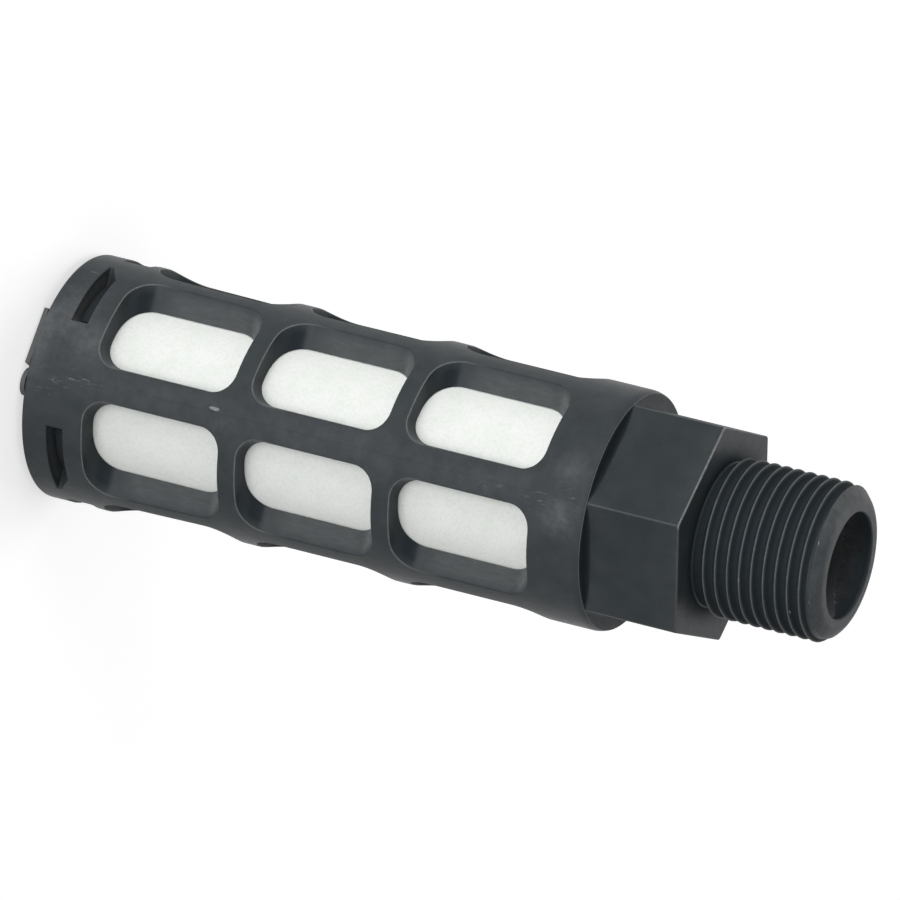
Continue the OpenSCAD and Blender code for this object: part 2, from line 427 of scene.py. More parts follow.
def side_opening(x_wall, y_wall, z0, z1, front_r, plan_r):
    """Window beside a parting line: walls at x and y, floors from wall to wall"""
    front_x, plan_y = x_wall + front_r, y_wall + plan_r
    across = np.linspace(0, 1, 6)[1:-1]
    out = held("x", arc(front_x, z0 + front_r, front_r, 180, 270))
    out += held("floor", [(part, z0) for part in across])
    out += held("y", arc(plan_y, z0 + plan_r, plan_r, 270, 180))
    out += held("y", straight((y_wall, z0 + plan_r), (y_wall, z1 - plan_r)))
    out += held("y", arc(plan_y, z1 - plan_r, plan_r, 180, 90))
    out += held("floor", [(part, z1) for part in across[::-1]])
    out += held("x", arc(front_x, z1 - front_r, front_r, 90, 180))
    out += held("x", straight((x_wall, z1 - front_r), (x_wall, z0 + front_r)))
    return out, (front_x, plan_y)


def side_slot(x_wall, y_wall, z0, z1, tip_h, taper_from):
    """Slot beside a parting line, narrower where it ends far from that line"""
    taper = [(1 + (taper_from - 1) * f, z0 + tip_h + (z1 - z0 - tip_h) * f) for f in (0.25, 0.5, 0.75, 1)]
    out = held("x", [(x_wall, z0 + (z1 - z0) * f) for f in np.linspace(1, 0, 5)])
    out += held("floor", [(part, z0) for part in np.linspace(0, 1, 9)[1:-1]])
    out += held("y", [(y_wall, z0), (y_wall, z0 + tip_h)])
    out += held("floor", taper)
    out += held("floor", [(part, z1) for part in np.linspace(taper_from, 0, 7)[1:-1]])
    return out, (x_wall, y_wall)


def centre_opening(half, z0, z1, r):
    """Rounded opening in the middle of a side, half its width on each side of the XZ plane"""
    out = held("c", arc(-half + r, z0 + r, r, 180, 270))
    out += held("c", straight((-half + r, z0), (half - r, z0)))
    out += held("c", arc(half - r, z0 + r, r, 270, 360))
    out += held("c", straight((half, z0 + r), (half, z1 - r)))
    out += held("c", arc(half - r, z1 - r, r, 0, 90))
    out += held("c", straight((half - r, z1), (-half + r, z1)))
    out += held("c", arc(-half + r, z1 - r, r, 90, 180))
    out += held("c", straight((-half, z1 - r), (-half, z0 + r)))
    return out, None


def on_cylinder(outline, radius, turn):
    """Outline as angle and height on a surface whose radius is given by height"""
    entries, ends = outline
    loop = []
    for kind, value, z in entries:
        r = radius(z)
        if kind == "x":
            t = math.degrees(math.asin(value / r))
        elif kind == "y":
            t = math.degrees(math.acos(value / r))
        elif kind == "floor":
            a = math.degrees(math.asin(ends[0] / r))
            b = math.degrees(math.acos(ends[1] / r))
            t = a + (b - a) * value
        else:
            t = 90 + math.degrees(math.asin(value / r))
        loop.append((turn(t), z))
    return np.array(loop)


# An outline is drawn in one quadrant and mirrored into the others
QUADRANTS = [lambda t: t, lambda t: -t, lambda t: 180 - t, lambda t: t - 180]
SIDES = QUADRANTS[:2]


def all_windows():
    openings = []
    for row in range(WINDOW_ROWS):
        z0 = Z_WINDOWS + row * (WINDOW_LEN + RING_W)
        z1 = z0 + WINDOW_LEN
        side = side_opening(PARTING_RIB_W / 2, SIDE_WINDOW_Y, z0, z1, FRONT_CORNER_R, PLAN_CORNER_R)
        openings += [(side, turn) for turn in QUADRANTS]
        half = (CENTRE_WINDOW_W - row * CENTRE_WINDOW_TAPER) / 2
        openings += [(centre_opening(half, z0, z1, PLAN_CORNER_R), turn) for turn in SIDES]
    return openings


def all_slots():
    side = side_slot(SLOT_INSET, SLOT_END, Z_SLOT, Z_SLOT + SLOT_H, SLOT_TIP_H, TAPER_FROM)
    centre = centre_opening(CENTRE_SLOT_W / 2, Z_SLOT, Z_SLOT + CENTRE_SLOT_H, SLOT_CORNER_R)
    return [(side, turn) for turn in QUADRANTS] + [(centre, turn) for turn in SIDES]


def spread(loop, distance):
    """Outline moved away from the opening, on the surface"""
    s = loop * FLAT
    tangent = unit(np.roll(s, -1, 0) - np.roll(s, 1, 0))
    area = 0.5 * np.sum(s[:, 0] * np.roll(s[:, 1], -1) - np.roll(s[:, 0], -1) * s[:, 1])
    out = np.stack([tangent[:, 1], -tangent[:, 0]], 1) * (1 if area > 0 else -1)
    return (s + out * distance) / FLAT


def inside(points, loop):
    """Which points lie inside an outline"""
    x, y = points[:, 0], points[:, 1]
    hit = np.zeros(len(points), bool)
    for (x0, y0), (x1, y1) in zip(loop, np.roll(loop, -1, 0)):
        crosses = (y0 > y) != (y1 > y)
        hit ^= crosses & (x < (x1 - x0) * (y - y0) / (y1 - y0 if y1 != y0 else 1) + x0)
    return hit


# ---------------------------------------------------------------- outside of the cage
def outer_radius(z):
    heights = (Z_WINDOWS, Z_WINDOWS + WINDOW_LEN, Z_CROWN)
    return np.interp(z, heights, (COLLAR_R, RING_R, SHOULDER_R))


def ridge(theta, z):
    """Parting line, as a low rounded ridge"""
    s = np.abs((np.asarray(theta) + 90) % 180 - 90) * MM_PER_DEG
    return RIDGE_H * np.exp(-(s / RIDGE_W) ** 2)


def gate(theta, z):
    """Mark where the gate was cut off, as a low flat-topped stub on the front rib"""
    across = (np.asarray(theta) - GATE_ANGLE) * math.radians(1) * RING_R / GATE_HALF_W
    d = np.hypot(across, (z - GATE_Z) / GATE_HALF_LEN)
    return GATE_H * np.clip((GATE_REACH - d) / GATE_SLOPE, 0, 1)


def skin(theta, z):
    """Radius of the moulding's outside"""
    return outer_radius(z) + ridge(theta, z) + gate(theta, z)


def lining(theta, z):
    """Radius of the cage's bore"""
    return CAGE_BORE_R + 0 * theta


def bore_line(theta):
    """Depth inside the bore of the line where the moulding's two cores met"""
    return np.interp(np.asarray(theta) % 360, BORE_LINE_ANGLES, BORE_LINE_DEPTHS)


def radial_normal(surface, theta, z):
    """Normal of a surface whose radius is given by angle and height"""
    theta, z = np.asarray(theta, float), np.asarray(z, float)
    e = 0.01
    r = surface(theta, z)
    dz = (surface(theta, z + e) - surface(theta, z - e)) / (2 * e)
    dt = (surface(theta + e, z) - surface(theta - e, z)) / math.radians(2 * e) / r
    t = np.radians(theta)
    n = np.stack(np.broadcast_arrays(np.sin(t) - dt * np.cos(t), -np.cos(t) - dt * np.sin(t), -dz), -1)
    return unit(n)


def gate_points():
    """Places of the finer points round the gate mark"""
    return [(GATE_ANGLE + dt, GATE_Z + dz) for dt in GATE_DEG for dz in GATE_MM]


def free_points(turn, heights, loops, lines):
    """Points of a grid that lie clear of the holes and the lines"""
    grid = np.array([(t, z) for t in turn[1:-1] for z in heights[1:-1]])
    keep = np.ones(len(grid), bool)
    for t in lines:
        keep &= np.abs(grid[:, 0] - t) * MM_PER_DEG > CLEAR_OF_LINE
    for loop in loops:
        near = (grid > loop.min(0) - NEAR_HOLE) & (grid < loop.max(0) + NEAR_HOLE)
        ids = np.flatnonzero(np.all(near, 1) & keep)
        gap = np.linalg.norm((grid[ids, None] - loop[None]) * FLAT, axis=2).min(1)
        keep[ids[(gap < CLEAR_OF_HOLE) | inside(grid[ids], loop)]] = False
    return grid[keep]


def pierced(build, surface, z_low, z_high, loops, z_step, lines=(), extra=()):
    """Surface of revolution with holes, triangulated in angle and height"""
    turn = np.append(THETA, 180.0)
    heights = np.linspace(z_low, z_high, int(round((z_high - z_low) / z_step)) + 1)
    coords, edges = [], []

    def chain(points, closed=False):
        start = len(coords)
        coords.extend(points)
        n = len(points)
        edges.extend((start + k, start + (k + 1) % n) for k in range(n if closed else n - 1))

    border = [(t, z_low) for t in turn] + [(180.0, z) for z in heights[1:-1]]
    border += [(t, z_high) for t in turn[::-1]] + [(-180.0, z) for z in heights[-2:0:-1]]
    chain(border, True)
    for loop in loops:
        chain([tuple(p) for p in loop], True)
    for t in lines:
        chain([(t, z) for z in heights[1:-1]])
    coords.extend(tuple(p) for p in free_points(turn, heights, loops, lines))
    coords.extend(extra)
    coords = np.array(coords)
    result = delaunay_2d_cdt([Vector(p * FLAT) for p in coords], edges, [], 0, SAME_POINT)
    source = [ids[0] for ids in result[3]]
    faces = np.array([[source[v] for v in f] for f in result[2]])
    centre = coords[faces].mean(1)
    drop = np.zeros(len(faces), bool)
    for loop in loops:
        drop |= inside(centre, loop)
    P = around(coords[:, 0], surface(coords[:, 0], coords[:, 1]), coords[:, 1])
    N = radial_normal(surface, coords[:, 0], coords[:, 1])
    for f in faces[~drop]:
        build.face([P[v] for v in f], [N[v] for v in f])


# ---------------------------------------------------------------- thread and hexagon
def smooth_min(a, b, k):
    h = np.clip(0.5 + 0.5 * (b - a) / k, 0, 1)
    return b * (1 - h) + a * h - k * h * (1 - h)


def thread_surface(theta, z):
    """Whitworth thread: flanks at 55 degrees, rounded crests and roots, cut off by the chamfer"""
    up = z - Z_THREAD
    phase = (up - THREAD_START - THREAD_PITCH * theta / 360) / THREAD_PITCH
    x = np.abs(phase - np.round(phase)) * THREAD_PITCH
    flank = THREAD_DEPTH / 2 + (THREAD_PITCH / 4 - x) / math.tan(HALF_FLANK)
    height = smooth_min(flank * THREAD_SCALE, THREAD_DEPTH, CREST_ROUND)
    height = -smooth_min(-height, -THREAD_FLOOR, ROOT_ROUND)
    start = ramp(up, NECK_LEN, RUN_OUT)
    height = height * start * start * (3 - 2 * start)
    r = THREAD_R - THREAD_DEPTH + height
    return smooth_min(r, THREAD_R - TIP_CHAMFER + Z_TIP - z, CHAMFER_ROUND)


def hexagon(theta, apothem, corner):
    """Distance from the axis and direction of the normal of a hexagon with rounded corners"""
    delta = (theta + 30) % 60 - 30
    nearest = theta - delta
    d = np.radians(np.abs(delta))
    centre = (apothem - corner) / math.cos(math.radians(30))
    touch = math.atan2(corner * 0.5, centre + corner * math.cos(math.radians(30)))
    flat = d >= touch
    round_r = centre * np.cos(d) + np.sqrt(np.maximum(corner ** 2 - (centre * np.sin(d)) ** 2, 0))
    rho = np.where(flat, apothem / np.cos(math.radians(30) - d), round_r)
    swing = np.degrees(np.arctan2(rho * np.sin(d), rho * np.cos(d) - centre))
    return rho, nearest + np.sign(delta) * np.where(flat, 30.0, swing)


# ---------------------------------------------------------------- cage
def towards_tip(z):
    """1 on the walls of an opening that face the tip, 0 on the others"""
    middle = (z.min() + z.max()) / 2
    return np.clip((middle - z) / np.ptp(z) * 3 - 0.5, 0, 1)


def band(distance, start, rise, fade, end):
    """1 in a band with soft borders, 0 outside it"""
    return ramp(distance, start, rise) * ramp(-distance, -end, fade)


def window_shade(outline, z):
    """Painted light on a window's walls, painted shade on those facing the tip, painted shade in its outer
    corners next to the collar and a painted highlight in those next to the thread
    """
    outer = np.array([kind in ("y", "c") for kind, _, _ in outline[0]])
    dark = band(z - z.min(), *DARK_BAND)
    light = band(z.max() - z, *LIGHT_BAND)
    return WINDOW_SHADE - WINDOW_TIP_SHADE * towards_tip(z) + outer * (LIGHT_BAND_HIGHLIGHT * light - dark)


def slot_shade(outline):
    """Painted shade where a slot tapers, painted light on its other walls"""
    taper = [kind == "y" or kind == "floor" and value >= TAPER_FROM and height > Z_SLOT
             for kind, value, height in outline[0]]
    return np.where(taper, TAPER_SHADE, SLOT_SHADE)


def add_opening(build, outline, turn, is_slot):
    """Rounded edge and wall of an opening; gives its outlines outside and inside"""
    edge = on_cylinder(outline, outer_radius, turn)
    inner = on_cylinder(outline, lambda z: CAGE_BORE_R, turn)
    wide = spread(edge, EDGE_FILLET)
    z = edge[:, 1]
    A = around(wide[:, 0], skin(wide[:, 0], wide[:, 1]), wide[:, 1])
    E = around(edge[:, 0], outer_radius(z), z)
    W = around(inner[:, 0], CAGE_BORE_R, inner[:, 1])
    B = E + unit(W - E) * EDGE_FILLET
    tangent = unit(np.roll(E, -1, 0) - np.roll(E, 1, 0))
    P, T = bend(A, E, B)
    # Painted highlight on the edge fillets of walls that face the tip
    highlighted = 0 * z if is_slot else towards_tip(z)
    build.patch(P, unit(np.cross(tangent[:, None], T)), highlighted[:, None] * WINDOW_EDGE_HIGHLIGHT)
    wall = np.stack([B + (W - B) * part for part in WALL_PARTS], 1)
    N = np.repeat(unit(np.cross(tangent, W - E))[:, None], len(WALL_PARTS), 1)
    # Painted light and shade on the walls
    shade = slot_shade(outline) if is_slot else window_shade(outline, z)
    build.patch(wall, N, shade[:, None] * (SLOT_WALL if is_slot else WINDOW_WALL))
    return wide, inner


def add_shell(build):
    """Collar, rings and ribs with all their openings, and the bore inside them"""
    loops = [add_opening(build, outline, turn, False) for outline, turn in all_windows()]
    loops += [add_opening(build, outline, turn, True) for outline, turn in all_slots()]
    outer_loops, inner_loops = zip(*loops)
    pierced(build, skin, Z_RIM + RIM_R, Z_CROWN, outer_loops, SKIN_STEP, RIDGE_DEG, gate_points())
    pierced(build, lining, Z_RIM + BORE_CHAMFER, Z_SEAT, inner_loops, LINING_STEP)


def add_rim(build):
    """Rounded rim below the collar"""
    t = np.radians(np.linspace(0, 90, 6))
    r = COLLAR_R - RIM_R * (1 - np.cos(t))
    z = Z_RIM + RIM_R - RIM_R * np.sin(t)
    R = r[None] + ridge(COLUMN, 0) * np.cos(t)[None] ** 2
    build.patch(around(COLUMN, R, z[None]), around(COLUMN, np.cos(t)[None], -np.sin(t)[None]))
    lathe(build, [(COLLAR_R - RIM_R, Z_RIM, 0), (CAGE_BORE_R + BORE_CHAMFER, Z_RIM, 0),
                  (CAGE_BORE_R, Z_RIM + BORE_CHAMFER, 0)])


def add_crown(build):
    """Rounded top of the shoulder and its edge; gives the radius where the edge ends"""
    a = np.arcsin(np.linspace(0, 1, CROWN_STEPS) * (CROWN_H - CROWN_CUT) / CROWN_R)
    r = SHOULDER_R - CROWN_R + CROWN_R * np.cos(a)
    z = Z_CROWN + CROWN_R * np.sin(a)
    fade = np.linspace(1, 0, CROWN_STEPS) ** 2
    P = around(COLUMN, r[None] + ridge(COLUMN, 0) * fade, z[None])
    build.patch(P, around(COLUMN, np.cos(a)[None], np.sin(a)[None]))
    ledge_r = CROWN_EDGE_R - LEDGE_W
    ends = [[r[-1], z[-1]], [CROWN_EDGE_R, Z_SHOULDER], [ledge_r, Z_SHOULDER + LEDGE_RISE]]
    C, T = bend(*(np.array([p]) for p in ends))
    P = around(COLUMN, C[0, :, 0][None], C[0, :, 1][None])
    T = unit(T[0])
    # The edge carries a painted highlight
    build.patch(P, around(COLUMN, T[:, 1][None], -T[:, 0][None]), SHOULDER_EDGE)
    return ledge_r


def add_hexagon(build, ledge_r):
    """Hollow root on the shoulder, flats, their upper edge and the end face; gives the neck's root"""
    rho, facing = hexagon(THETA, HEX_APOTHEM, HEX_EDGE_R)
    side = around(facing, 1.0, 0.0)
    along = around(facing + 90, 1.0, 0.0)
    gap = ledge_r - rho
    rise = np.minimum(ROOT_RISE + ROOT_RISE_PER_GAP * gap, HEX_ROOT - ROOT_BELOW_TOP)
    B = around(THETA, rho, Z_SHOULDER + rise)
    low = around(THETA, rho, Z_SHOULDER + ROOT_LIFT)
    P, T = bend(around(THETA, ledge_r, Z_SHOULDER + LEDGE_RISE), low, B, ROOT_STEPS)
    # Painted shade in the root, deepest where the root is widest
    depth = -np.clip(gap / FULL_ROOT_GAP, 0, 1) * np.where(between(THETA, DARK_ROOT_DEG), 1, ROOT_ELSEWHERE)
    build.patch(P, unit(np.cross(along[:, None], T)), depth[:, None] * ROOT_SHADE)

    top = around(THETA, rho, Z_THREAD - HEX_FACE_FILLET)
    P = B[:, None] + (top - B)[:, None] * FLAT_LEVELS[None, :, None]
    # Painted shade on the flats, with a painted highlight along the corners
    at_corner = np.exp(-(((COLUMN + 30) % 60 - 30) / HEX_LINE_DEG) ** 2)
    shade = FLAT_SHADE + at_corner * (HEX_LINE_HIGHLIGHT - FLAT_SHADE)
    build.patch(P, np.repeat(side[:, None], len(FLAT_LEVELS), 1), shade)

    rho_in, _ = hexagon(THETA, HEX_APOTHEM - HEX_FACE_FILLET, HEX_EDGE_R)
    face = around(THETA, rho_in, Z_THREAD)
    P, T = bend(top, around(THETA, rho, Z_THREAD), face)
    # Painted highlight on the face's edge
    painted_light_and_wear = np.where(between(COLUMN, HIGHLIT_FACE_DEG), 1.0, FACE_ELSEWHERE)
    build.patch(P, unit(np.cross(along[:, None], T)), painted_light_and_wear * HEX_FACE_EDGE)
    # Painted shade on the face, darker towards the neck
    root = around(THETA, THREAD_R - THREAD_DEPTH + NECK_FILLET, Z_THREAD)
    P = face[:, None] + (root - face)[:, None] * np.linspace(0, 1, 5)[None, :, None]
    build.patch(P, np.broadcast_to(np.array([0, 0, 1.0]), P.shape), HEX_FACE_SHADE)
    return root


def add_thread(build, root):
    """Neck, helical thread and the rounded edge of the tip; gives the edge's inner end"""
    neck_r = THREAD_R - THREAD_DEPTH
    thread_from, thread_to = Z_THREAD + NECK_FILLET, Z_TIP - TIP_EDGE_H
    turning = around(COLUMN + 90, 1.0, 0.0)
    P, T = bend(root, around(THETA, neck_r, Z_THREAD), around(THETA, neck_r, thread_from))
    build.patch(P, unit(np.cross(turning, T)))
    z = np.linspace(thread_from, thread_to, THREAD_ROWS)[None]
    P = around(COLUMN, thread_surface(COLUMN, z), z)
    N = radial_normal(thread_surface, COLUMN + 0 * z, z + 0 * COLUMN)
    depth = (THREAD_R - np.hypot(P[..., 0], P[..., 1])) / THREAD_DEPTH
    chamfer = z > Z_TIP - TIP_CHAMFER - CHAMFER_MARGIN
    # Painted highlight on the crests and painted shade in the roots
    painted_light_and_wear = CREST_HIGHLIGHT * np.clip(1 - depth / CREST_HIGHLIGHT_DEPTH, 0, 1) - ramp(depth, *THREAD_ROOT_SHADE_DEPTHS)
    build.patch(P, N, np.where(chamfer, 0, painted_light_and_wear))
    tip_r = thread_surface(THETA, thread_to)
    end = around(THETA, tip_r - TIP_EDGE_W, Z_TIP)
    P, T = bend(around(THETA, tip_r, thread_to), around(THETA, tip_r - TIP_EDGE_H, Z_TIP), end, TIP_STEPS)
    build.patch(P, unit(np.cross(turning, T)))
    return end


def add_bore(build, tip_edge):
    """End face, lip and bore down to the seat of the porous tube"""
    lip = around(THETA, BORE_R + LIP, Z_TIP)
    P = np.stack([tip_edge, (tip_edge + lip) / 2, lip], 1)
    build.patch(P, np.broadcast_to(np.array([0, 0, 1.0]), P.shape))
    z_lip = Z_TIP - LIP
    lathe(build, [(BORE_R + LIP, Z_TIP, 0), (BORE_R, z_lip, 0)])
    z = z_lip - np.linspace(0, BORE_PATCH_LEN, BORE_ROWS)[None]
    step = LINE_STEP * ramp(Z_TIP - z - bore_line(COLUMN), 0, LINE_W)
    build.patch(around(COLUMN, BORE_R - step, z), around(COLUMN, -1.0, 0 * z))
    z_spigot = Z_SEAT - SPIGOT_LEN
    lathe(build, [(BORE_R - LINE_STEP, z_lip - BORE_PATCH_LEN, 0), (BORE_R, Z_HEX, BORE_FILLET),
                  (BORE_R, z_spigot, 0), (SPIGOT_R, z_spigot, 0),
                  (SPIGOT_R, Z_SEAT, 0), (CAGE_BORE_R, Z_SEAT, 0)])


def make_cage():
    build = Builder()
    add_shell(build)
    add_rim(build)
    ledge_r = add_crown(build)
    root = add_hexagon(build, ledge_r)
    tip_edge = add_thread(build, root)
    add_bore(build, tip_edge)
    return build.mesh("cage")


# ---------------------------------------------------------------- materials
# Colours: the plastic's own two tones, painted shade in recesses and in the bore, painted light and sheen,
# and a pale colour for real wear and painted highlights
PLASTIC_DARK, PLASTIC_LIGHT = (0.0365, 0.043, 0.047), (0.0485, 0.0555, 0.059)
PLASTIC_SHADE, BORE_DARK = (0.018, 0.024, 0.028), (0.024, 0.034, 0.040)
PLASTIC_LIT, PLASTIC_WEAR_AND_HIGHLIGHT = (0.125, 0.13, 0.135), (0.24, 0.25, 0.25)
POROUS_DARK, POROUS_LIGHT, PORE_SHADE = (0.82, 0.85, 0.81), (0.87, 0.89, 0.86), (0.62, 0.65, 0.62)
PLASTIC_SPECULAR, POROUS_SPECULAR = 0.08, 0.3
SKIN_BUMP, MOTTLE_BUMP, GRAIN_BUMP = 0.012, 0.05, 0.012
GRAINS_PER_MM = 3.2
# Heights between which the cap's painted light at the rim fades and its painted shade inside the collar
# grows, and how strong they are
CAP_LIGHT_Z, CAP_LIGHT, CAP_SHADE_Z, CAP_SHADE = (0.6, 1.2), 0.8, (1.5, 2.5), 0.7
# Roughness of the clean plastic, and how much painted light, painted shade in the bore and painted shade
# add to it
PLASTIC_ROUGH = (0.32, 0.45)
PAINTED_LIGHT_DULLS, BORE_SHADE_DULLS, PAINTED_SHADE_DULLS = 0.12, 0.35, 0.4
CAP_BEVEL, CAP_BEVEL_ANGLE = 0.12, 35
# What part of a pattern counts, from low to high, and what it is turned into
MIDDLE = (0.3, 0.7)
SMEAR_TO_PAINTED_LIGHT, SMEAR_TO_SHADE = (0.32, 0.66, 0.4, 1.0), (0.3, 0.6, 0.88, 1.0)
SCRATCH_TO_WEAR_AND_HIGHLIGHT, SCRATCH_TO_SCUFF = (0.4, 0.64, 0.62, 0.95), (0.58, 0.7)
GRAIN_TO_PORE_SHADE, GRAIN_TO_ROUGH = (0.45, 0.75, 0.0, 0.16), (0.0, 0.7, 0.6, 0.85)


class Nodes:
    """Short way to build a node tree"""

    def __init__(self, name):
        self.material = bpy.data.materials.new(name)
        self.material.use_nodes = True
        self.tree = self.material.node_tree
        self.shader = self.tree.nodes["Principled BSDF"]
        coords = self.tree.nodes.new("ShaderNodeTexCoord")
        mapping = self.tree.nodes.new("ShaderNodeMapping")
        mapping.inputs["Scale"].default_value = (1 / MM,) * 3
        self.link(coords.outputs["Object"], mapping.inputs["Vector"])
        self.mm = mapping.outputs["Vector"]

    def link(self, a, b):
        self.tree.links.new(a, b)

    def noise(self, scale, detail=3.0, roughness=0.55, stretch=None):
        node = self.tree.nodes.new("ShaderNodeTexNoise")
        node.inputs["Scale"].default_value = scale
        node.inputs["Detail"].default_value = detail
        node.inputs["Roughness"].default_value = roughness
        vector = self.mm
        if stretch:
            mapping = self.tree.nodes.new("ShaderNodeMapping")
            mapping.inputs["Scale"].default_value = stretch
            self.link(self.mm, mapping.inputs["Vector"])
            vector = mapping.outputs["Vector"]
        self.link(vector, node.inputs["Vector"])
        return node.outputs["Fac"]

    def attribute(self, name):
        node = self.tree.nodes.new("ShaderNodeAttribute")
        node.attribute_name = name
        return node.outputs["Fac"]

    def scale(self, value, low, high, to_low=0.0, to_high=1.0):
        node = self.tree.nodes.new("ShaderNodeMapRange")
        numbers = {"From Min": low, "From Max": high, "To Min": to_low, "To Max": to_high}
        for key, number in numbers.items():
            node.inputs[key].default_value = number
        self.link(value, node.inputs["Value"])
        return node.outputs["Result"]

    def math(self, operation, a, b):
        node = self.tree.nodes.new("ShaderNodeMath")
        node.operation = operation
        for socket, value in zip(node.inputs, (a, b)):
            if isinstance(value, (int, float)):
                socket.default_value = value
            else:
                self.link(value, socket)
        return node.outputs[0]

    def mix(self, factor, a, b):
        node = self.tree.nodes.new("ShaderNodeMix")
        node.data_type = "RGBA"
        self.link(factor, node.inputs["Factor"])
        for key, value in (("A", a), ("B", b)):
            socket = [i for i in node.inputs if i.name == key and i.type == "RGBA"][0]
            if isinstance(value, tuple):
                socket.default_value = (*value, 1)
            else:
                self.link(value, socket)
        return [o for o in node.outputs if o.type == "RGBA"][0]

    def bump(self, height, distance, normal=None):
        node = self.tree.nodes.new("ShaderNodeBump")
        node.inputs["Distance"].default_value = distance * MM
        self.link(height, node.inputs["Height"])
        if normal is not None:
            self.link(normal, node.inputs["Normal"])
        return node.outputs["Normal"]


def plastic(name, cap=False):
    """Charcoal moulded plastic: mottled, with real wear and scuffs, painted highlights on edges, painted
    light and sheen, and painted shade
    """
    n = Nodes(name)
    mottle = n.noise(0.45, detail=4.0)
    fine = n.noise(5.0)
    smear = n.noise(0.9, detail=5.0, roughness=0.65)
    scratch = n.noise(3.0, detail=4.0, roughness=0.7, stretch=(1.0, 1.0, 0.22))
    if cap:
        # The cap gets no attributes of its own: by its height it gets painted light at the rim and painted
        # shade inside the collar
        height = n.tree.nodes.new("ShaderNodeSeparateXYZ")
        n.link(n.mm, height.inputs["Vector"])
        painted_shade = n.scale(height.outputs["Z"], *CAP_SHADE_Z, 0.0, CAP_SHADE)
        painted_light = n.scale(height.outputs["Z"], *CAP_LIGHT_Z, CAP_LIGHT, 0.0)
    else:
        painted_shade = n.attribute("painted_shade")
        painted_light = n.math("MULTIPLY", n.attribute("painted_light"), n.scale(smear, *SMEAR_TO_PAINTED_LIGHT))
    base = n.mix(n.scale(mottle, *MIDDLE), PLASTIC_DARK, PLASTIC_LIGHT)
    # Painted shade on the bore wall
    with_bore_shade = n.mix(n.attribute("bore_shade"), base, BORE_DARK)
    # Painted light and sheen
    with_painted_light = n.mix(painted_light, with_bore_shade, PLASTIC_LIT)
    # Painted shade
    shade_amount = n.math("MULTIPLY", painted_shade, n.scale(smear, *SMEAR_TO_SHADE))
    shaded = n.mix(shade_amount, with_painted_light, PLASTIC_SHADE)
    # Painted highlights and real wear, in one pale colour
    wear_and_highlight = n.math("MULTIPLY", n.attribute("edge"), n.scale(scratch, *SCRATCH_TO_WEAR_AND_HIGHLIGHT))
    painted_light_and_wear = n.mix(wear_and_highlight, shaded, PLASTIC_WEAR_AND_HIGHLIGHT)
    scuff = n.math("MULTIPLY", n.attribute("scuff"), n.scale(scratch, *SCRATCH_TO_SCUFF))
    n.link(n.mix(scuff, painted_light_and_wear, PLASTIC_WEAR_AND_HIGHLIGHT), n.shader.inputs["Base Color"])

    painted_light_dull = n.math("MULTIPLY", n.attribute("painted_light"), PAINTED_LIGHT_DULLS)
    bore_shade_dull = n.math("MULTIPLY", n.attribute("bore_shade"), BORE_SHADE_DULLS)
    dull = n.math("ADD", n.math("ADD", painted_light_dull, bore_shade_dull), n.math("MULTIPLY", painted_shade, PAINTED_SHADE_DULLS))
    rough = n.math("ADD", n.scale(fine, *MIDDLE, *PLASTIC_ROUGH), dull)
    n.link(rough, n.shader.inputs["Roughness"])
    n.link(n.bump(mottle, MOTTLE_BUMP, n.bump(fine, SKIN_BUMP)), n.shader.inputs["Normal"])
    n.shader.inputs["Specular IOR Level"].default_value = PLASTIC_SPECULAR
    return n.material


def porous(name):
    """Sintered off-white plastic: fine grains with dimples between them, darkened as painted shade"""
    n = Nodes(name)
    cells = n.tree.nodes.new("ShaderNodeTexVoronoi")
    cells.inputs["Scale"].default_value = GRAINS_PER_MM
    n.link(n.mm, cells.inputs["Vector"])
    from_middle = cells.outputs["Distance"]
    base = n.mix(n.scale(n.noise(0.4), *MIDDLE), POROUS_DARK, POROUS_LIGHT)
    # Painted shade in the dimples between grains
    pore_shade = n.scale(from_middle, *GRAIN_TO_PORE_SHADE)
    n.link(n.mix(pore_shade, base, PORE_SHADE), n.shader.inputs["Base Color"])
    n.link(n.scale(from_middle, *GRAIN_TO_ROUGH), n.shader.inputs["Roughness"])
    grains = n.math("SUBTRACT", 1.0, from_middle)
    n.link(n.bump(grains, GRAIN_BUMP), n.shader.inputs["Normal"])
    n.shader.inputs["Specular IOR Level"].default_value = POROUS_SPECULAR
    return n.material


# ---------------------------------------------------------------- pieces
def put(data, name=None):
    """New object in the scene"""
    thing = bpy.data.objects.new(name or data.name, data)
    bpy.context.scene.collection.objects.link(thing)
    return thing


def add_piece(name, data, material, body):
    piece = put(data, name)
    data.materials.append(material)
    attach(piece, body)
    return piece


def dress(node, material):
    """New material on a CAD node"""
    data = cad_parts[node].data
    data.materials.clear()
    data.materials.append(material)


cage = add_piece("cage", make_cage(), plastic("body_plastic"), "root")
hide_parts("cage_body")
dress("porous_tube", porous("porous_plastic"))
dress("end_cap", plastic("cap_plastic", cap=True))
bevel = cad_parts["end_cap"].modifiers.new("edges", "BEVEL")
bevel.width, bevel.segments = CAP_BEVEL * MM, 2
bevel.limit_method, bevel.angle_limit = "ANGLE", math.radians(CAP_BEVEL_ANGLE)
bevel.harden_normals = True

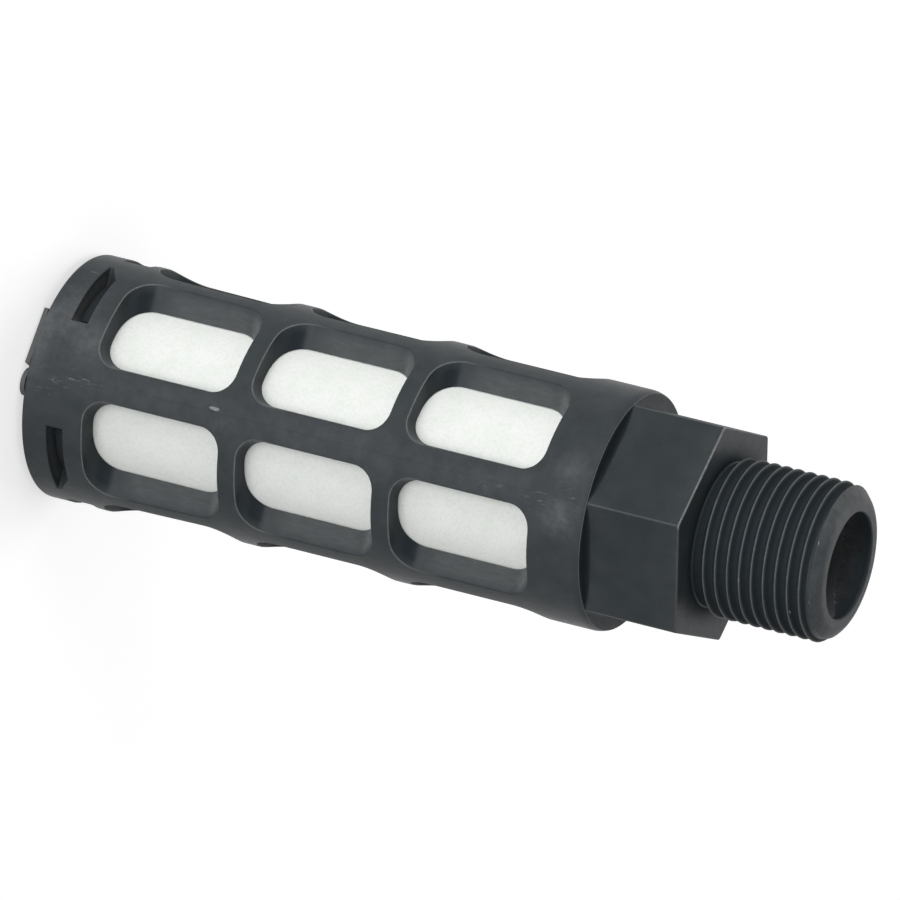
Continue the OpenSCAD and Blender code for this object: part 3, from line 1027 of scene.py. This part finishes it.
# ---------------------------------------------------------------- camera
# The centre of the hexagon's end face lies DISTANCE in front of the camera,
# and AIM to the right of and below the middle of the view.
DISTANCE, AIM = 1023.916, (27.907, 8.651)
SENSOR_MM, LENS_MM, CLIP_END_M = 36, 400, 10
SLOPE, TILT, ROLL = math.radians(13.86), math.radians(22.85), math.radians(1.11)
turn = Matrix.Rotation(SLOPE, 3, "Z") @ Matrix.Rotation(TILT, 3, "Y") @ Matrix.Rotation(ROLL, 3, "X")
turn = turn @ Matrix(((0, 0, 1), (1, 0, 0), (0, 1, 0)))
back = turn.transposed()
place = back @ (turn @ Vector((0, 0, Z_THREAD)) - Vector((*AIM, DISTANCE)))
# Rows: right, up and towards the camera
axes = Matrix((back @ Vector((1, 0, 0)), back @ Vector((0, -1, 0)), back @ Vector((0, 0, -1))))
camera_data = bpy.data.cameras.new("camera")
camera_data.sensor_width, camera_data.lens, camera_data.clip_end = SENSOR_MM, LENS_MM, CLIP_END_M
camera = put(camera_data)
pose = axes.transposed().to_4x4()
pose.translation = place * MM
camera.matrix_world = pose
bpy.context.scene.camera = camera

# ---------------------------------------------------------------- light and floor
# The world's strength as light, and the glow of the floor where it is seen directly
WORLD_LEVEL, FLOOR_GLOW = 0.30, 0.6
LAMP_WIDTH_DEG = 36
# Name, direction in the camera's axes and strength
LAMPS = [("left", (-0.5, 0.1, 1), 1.7), ("top", (0, 1, 1), 1.0), ("right", (1, 0, -0.3), 0.75)]
# The floor in metres: half its side, and how far it lies below the silencer
FLOOR_HALF, FLOOR_DROP = 3.0, 0.0002
FLOOR_GREY, FLOOR_ROUGH = 0.8, 0.9
WHITE = (1, 1, 1, 1)


def seen_directly(tree):
    """1 where the background is seen by the camera, in a reflection or through glass"""
    path = tree.nodes.new("ShaderNodeLightPath")
    total = path.outputs["Is Camera Ray"]
    for kind in ("Is Glossy Ray", "Is Transmission Ray"):
        either = tree.nodes.new("ShaderNodeMath")
        either.operation = "MAXIMUM"
        tree.links.new(total, either.inputs[0])
        tree.links.new(path.outputs[kind], either.inputs[1])
        total = either.outputs[0]
    return total


def make_world():
    """White where it is seen, and a plain weaker level as light"""
    world = bpy.data.worlds.new("studio")
    bpy.context.scene.world = world
    world.use_nodes = True
    tree = world.node_tree
    background = tree.nodes["Background"]
    background.inputs["Color"].default_value = WHITE
    level = tree.nodes.new("ShaderNodeMapRange")
    level.inputs["To Min"].default_value = WORLD_LEVEL
    level.inputs["To Max"].default_value = 1.0
    tree.links.new(seen_directly(tree), level.inputs["Value"])
    tree.links.new(level.outputs["Result"], background.inputs["Strength"])


def soft_lamp(name, direction, strength):
    """Lamp far away in a direction given in the camera's axes: right, up, towards the camera"""
    data = bpy.data.lights.new(name, "SUN")
    data.energy, data.angle = strength, math.radians(LAMP_WIDTH_DEG)
    towards = axes.transposed() @ Vector(direction).normalized()
    put(data).rotation_euler = towards.to_track_quat("Z", "Y").to_euler()


def make_floor():
    """Pale floor, which throws no shadow because a lamp stands below its plane"""
    bm = bmesh.new()
    bmesh.ops.create_grid(bm, x_segments=8, y_segments=8, size=FLOOR_HALF)
    data = bpy.data.meshes.new("floor")
    bm.to_mesh(data)
    bm.free()
    n = Nodes("floor")
    n.shader.inputs["Base Color"].default_value = (FLOOR_GREY, FLOOR_GREY, FLOOR_GREY, 1)
    n.shader.inputs["Roughness"].default_value = FLOOR_ROUGH
    n.shader.inputs["Specular IOR Level"].default_value = 0.0
    n.shader.inputs["Emission Color"].default_value = WHITE
    n.link(n.scale(seen_directly(n.tree), 0, 1, 0.0, FLOOR_GLOW), n.shader.inputs["Emission Strength"])
    data.materials.append(n.material)
    floor = put(data)
    floor.location.z = -FLOOR_DROP
    floor.visible_shadow = False


make_world()
for lamp in LAMPS:
    soft_lamp(*lamp)
make_floor()
bpy.context.scene.view_settings.view_transform = "Standard"
